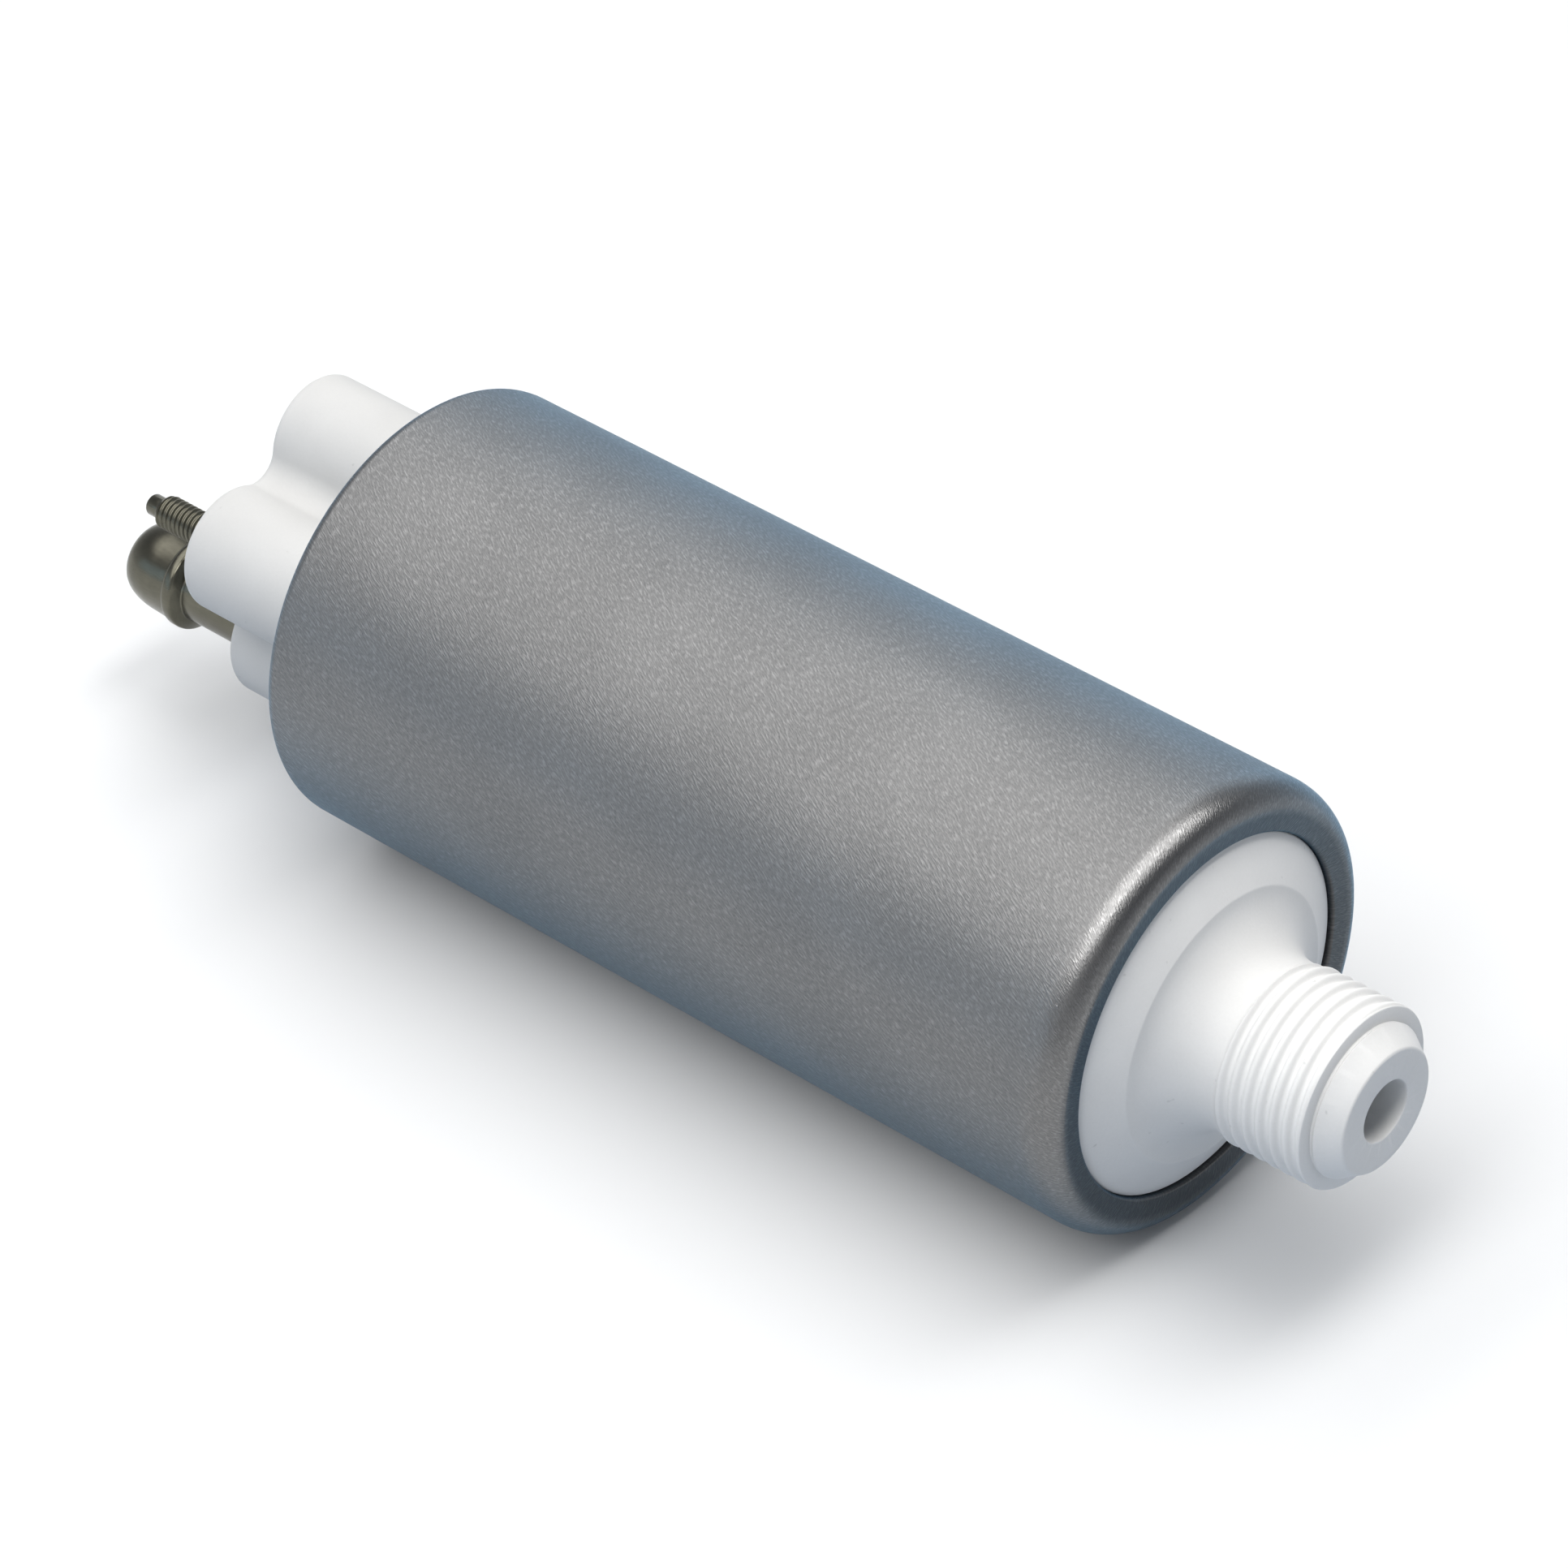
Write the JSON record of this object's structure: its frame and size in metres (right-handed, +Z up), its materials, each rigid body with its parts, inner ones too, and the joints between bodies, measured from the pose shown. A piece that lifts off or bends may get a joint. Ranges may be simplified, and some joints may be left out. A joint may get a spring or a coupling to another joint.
{
  "type": "electric fuel pump",
  "caption": "Cylindrical electric fuel pump: steel can with rolled lips, white threaded inlet, towers with barbed outlet tube and threaded terminals, gerotor pump and brushed motor inside.",
  "frame": {"origin": "on the can's axis, half way along the can", "axes": "+X along the axis towards the threaded inlet, +Z up with the pump rolled as in the picture, where the relief tower is near the top"},
  "size_m": [0.1525, 0.045, 0.045],
  "materials": {
    "can_steel": "satin, fine tumbled grain",
    "acetal": "satin white moulded plastic",
    "rubber": "matt black",
    "sintered_steel": "ground grey",
    "rotor_steel": "ground dark grey",
    "flux_steel": "dull drawn steel",
    "ferrite": "matt ceramic black",
    "shaft_steel": "ground and polished",
    "spring_steel": "drawn wire and strip",
    "lamination": "stacked sheet edges",
    "copper": "bright copper",
    "bronze": "sintered bronze",
    "phenolic": "dark brown moulding",
    "washer_plastic": "plain",
    "carbon": "graphite",
    "plated_steel": "olive-brown plating"
  },
  "bodies": {
    "housing": {"shell": "can_steel", "inlet_cap": "acetal", "inlet_seal": "rubber", "inlet_plate": "sintered_steel", "eccentric_ring": "sintered_steel", "outlet_plate": "sintered_steel", "dowel_pins": "shaft_steel", "flux_ring": "flux_steel", "magnet_upper": "ferrite", "magnet_lower": "ferrite", "magnet_clips": "spring_steel", "front_bush": "bronze", "thrust_washer": "washer_plastic", "rear_bush": "bronze", "outlet_cap": "acetal", "outlet_seal": "rubber", "brush_spring_positive": "spring_steel", "brush_spring_negative": "spring_steel", "brush_lead_positive": "copper", "brush_lead_negative": "copper", "terminal_stud_positive": "plated_steel", "terminal_stud_negative": "plated_steel", "outlet_tube": "plated_steel", "check_spring": "spring_steel", "check_retainer": "bronze", "relief_spring": "spring_steel", "relief_plug": "acetal"},
    "rotor": {"shaft": "shaft_steel", "armature_core": "lamination", "windings": "copper", "commutator_base": "phenolic", "commutator_segments": "copper", "drive_coupling": "phenolic", "inner_rotor": "rotor_steel"},
    "pump_outer_rotor": {"outer_rotor": "rotor_steel"},
    "positive_brush": {"brush_positive": "carbon"},
    "negative_brush": {"brush_negative": "carbon"},
    "check_valve": {"check_poppet": "bronze", "check_poppet_face": "rubber"},
    "relief_valve": {"relief_ball": "shaft_steel"}
  },
  "joints": [
    {"name": "rotor_spin", "type": "hinge", "parent": "housing", "child": "rotor", "pos_m": [0, 0, 0], "axis": [1, 0, 0], "continuous": true},
    {"name": "outer_rotor_spin", "type": "hinge", "parent": "housing", "child": "pump_outer_rotor", "pos_m": [0.0338, 0.0013, 0], "axis": [1, 0, 0], "continuous": true},
    {"name": "positive_brush_slide", "type": "slide", "parent": "housing", "child": "positive_brush", "axis": [-1, 0, 0], "range_m": [0, 0.0025], "stiffness_N_per_m": 300, "springref_m": -0.006, "deforming": ["brush_spring_positive", "brush_lead_positive"]},
    {"name": "negative_brush_slide", "type": "slide", "parent": "housing", "child": "negative_brush", "axis": [-1, 0, 0], "range_m": [0, 0.0025], "stiffness_N_per_m": 300, "springref_m": -0.006, "deforming": ["brush_spring_negative", "brush_lead_negative"]},
    {"name": "check_valve_slide", "type": "slide", "parent": "housing", "child": "check_valve", "axis": [-1, 0, 0], "range_m": [0, 0.0025], "stiffness_N_per_m": 120, "springref_m": -0.004, "deforming": ["check_spring"]},
    {"name": "relief_valve_slide", "type": "slide", "parent": "housing", "child": "relief_valve", "axis": [-1, 0, 0], "range_m": [0, 0.0015], "stiffness_N_per_m": 600, "springref_m": -0.006, "deforming": ["relief_spring"]}
  ],
  "couplings": [
    {"joint": "outer_rotor_spin", "follows": "rotor_spin", "ratio": 0.85714}
  ]
}
